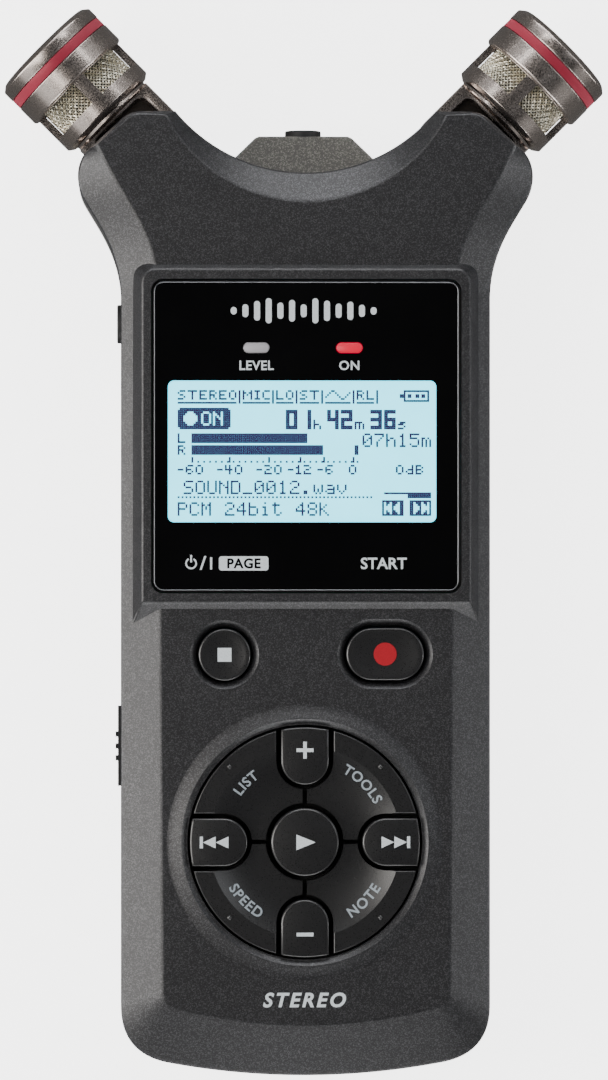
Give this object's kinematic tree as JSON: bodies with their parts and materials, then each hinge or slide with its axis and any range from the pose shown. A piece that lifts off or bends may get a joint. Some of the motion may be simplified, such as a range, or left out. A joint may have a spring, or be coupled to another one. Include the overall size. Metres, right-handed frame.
{
  "type": "handheld voice recorder",
  "caption": "Handheld stereo voice recorder with swinging microphones, a display under a black window, sprung keys, a slide switch, jacks and a battery bay.",
  "frame": {"origin": "centre line of the case, half-way along the length with the microphones turned out, at the level of the rear face that it rests on", "axes": "+Y towards the microphones, +Z out of the display, +X to the right seen from the front"},
  "size_m": [0.0894, 0.1586, 0.026],
  "materials": {
    "flake_paint": "dark grey paint with fine metallic flakes, satin",
    "rear_paint": "dark warm grey paint with fine metallic flakes, satin",
    "gloss_black": "polished black window",
    "lcd_glass": "pale blue lit display glass",
    "light_guide": "milky clear acrylic",
    "red_light": "lit red acrylic",
    "key_plastic": "black, satin, bright rounded edges",
    "key_rubber": "black silicone",
    "black_plastic": "black moulded plastic",
    "board_green": "green solder mask",
    "bare_steel": "plated spring steel",
    "brass": "turned brass",
    "cell_jacket": "plain blue cell jacket",
    "mic_metal": "sand-blasted gunmetal",
    "mic_mesh": "woven wire, pale brass tone",
    "mic_red": "red anodised ring"
  },
  "bodies": {
    "recorder": {"front_case": "flake_paint", "rear_case": "rear_paint", "display_window": "gloss_black", "lcd_panel": "lcd_glass", "lcd_backlight": "light_guide", "peak_light_guide": "light_guide", "record_light_guide": "red_light", "main_board": "board_green", "key_mat": "key_rubber", "speaker": "black_plastic", "tripod_nut": "brass", "phones_jack": "black_plastic", "input_jack": "black_plastic", "usb_socket": "bare_steel", "card_socket": "bare_steel", "battery_left": "cell_jacket", "battery_right": "cell_jacket", "positive_contact": "bare_steel", "negative_spring": "bare_steel", "bridge_contact": "bare_steel", "hold_plate": "black_plastic", "case_screw_1": "bare_steel", "case_screw_2": "bare_steel", "case_screw_3": "bare_steel", "case_screw_4": "bare_steel", "pivot_pin_left": "bare_steel", "pivot_pin_right": "bare_steel"},
    "microphone_left": {"mic_arm_left": "mic_metal", "mic_housing_left": "mic_metal", "mic_mesh_left": "mic_mesh", "mic_ring_left": "mic_red", "mic_cap_left": "mic_metal", "mic_grille_left": "mic_mesh", "mic_capsule_left": "brass"},
    "microphone_right": {"mic_arm_right": "mic_metal", "mic_housing_right": "mic_metal", "mic_mesh_right": "mic_mesh", "mic_ring_right": "mic_red", "mic_cap_right": "mic_metal", "mic_grille_right": "mic_mesh", "mic_capsule_right": "brass"},
    "stop_button": {"stop_button": "key_plastic"},
    "record_button": {"record_button": "key_plastic"},
    "play_button": {"play_button": "key_plastic"},
    "plus_button": {"plus_button": "key_plastic"},
    "back_button": {"back_button": "key_plastic"},
    "minus_button": {"minus_button": "key_plastic"},
    "forward_button": {"forward_button": "key_plastic"},
    "quick_key": {"quick_key": "key_plastic"},
    "menu_key": {"menu_key": "key_plastic"},
    "playback_key": {"playback_key": "key_plastic"},
    "mark_key": {"mark_key": "key_plastic"},
    "battery_cover": {"battery_cover": "rear_paint"},
    "card_door": {"card_door": "rear_paint"},
    "hold_switch": {"hold_switch": "key_plastic"}
  },
  "joints": [
    {"name": "microphone_left_swing", "type": "hinge", "parent": "recorder", "child": "microphone_left", "pos_m": [-0.0229, 0.0575, 0.013], "axis": [0, 0, -1], "range_deg": [0, 90]},
    {"name": "microphone_right_swing", "type": "hinge", "parent": "recorder", "child": "microphone_right", "pos_m": [0.0229, 0.0575, 0.013], "axis": [0, 0, 1], "range_deg": [0, 90]},
    {"name": "stop_button_press", "type": "slide", "parent": "recorder", "child": "stop_button", "axis": [0, 0, -1], "range_m": [0, 0.0005], "stiffness_N_per_m": 1500, "springref_m": -0.0003},
    {"name": "record_button_press", "type": "slide", "parent": "recorder", "child": "record_button", "axis": [0, 0, -1], "range_m": [0, 0.0005], "stiffness_N_per_m": 1500, "springref_m": -0.0003},
    {"name": "play_button_press", "type": "slide", "parent": "recorder", "child": "play_button", "axis": [0, 0, -1], "range_m": [0, 0.0005], "stiffness_N_per_m": 1500, "springref_m": -0.0003},
    {"name": "plus_button_press", "type": "slide", "parent": "recorder", "child": "plus_button", "axis": [0, 0, -1], "range_m": [0, 0.0005], "stiffness_N_per_m": 1500, "springref_m": -0.0003},
    {"name": "back_button_press", "type": "slide", "parent": "recorder", "child": "back_button", "axis": [0, 0, -1], "range_m": [0, 0.0005], "stiffness_N_per_m": 1500, "springref_m": -0.0003},
    {"name": "minus_button_press", "type": "slide", "parent": "recorder", "child": "minus_button", "axis": [0, 0, -1], "range_m": [0, 0.0005], "stiffness_N_per_m": 1500, "springref_m": -0.0003},
    {"name": "forward_button_press", "type": "slide", "parent": "recorder", "child": "forward_button", "axis": [0, 0, -1], "range_m": [0, 0.0005], "stiffness_N_per_m": 1500, "springref_m": -0.0003},
    {"name": "quick_key_press", "type": "slide", "parent": "recorder", "child": "quick_key", "axis": [0, 0, -1], "range_m": [0, 0.0005], "stiffness_N_per_m": 1500, "springref_m": -0.0003},
    {"name": "menu_key_press", "type": "slide", "parent": "recorder", "child": "menu_key", "axis": [0, 0, -1], "range_m": [0, 0.0005], "stiffness_N_per_m": 1500, "springref_m": -0.0003},
    {"name": "playback_key_press", "type": "slide", "parent": "recorder", "child": "playback_key", "axis": [0, 0, -1], "range_m": [0, 0.0005], "stiffness_N_per_m": 1500, "springref_m": -0.0003},
    {"name": "mark_key_press", "type": "slide", "parent": "recorder", "child": "mark_key", "axis": [0, 0, -1], "range_m": [0, 0.0005], "stiffness_N_per_m": 1500, "springref_m": -0.0003},
    {"name": "hold_switch_slide", "type": "slide", "parent": "recorder", "child": "hold_switch", "axis": [0, 1, 0], "range_m": [0, 0.0026]},
    {"name": "battery_cover_slide", "type": "slide", "parent": "recorder", "child": "battery_cover", "axis": [0, -1, 0], "range_m": [0, 0.066]},
    {"name": "card_door_hinge", "type": "hinge", "parent": "recorder", "child": "card_door", "pos_m": [0.02736, 0.011, 0.0055], "axis": [0, 1, 0], "range_deg": [0, 110]}
  ]
}
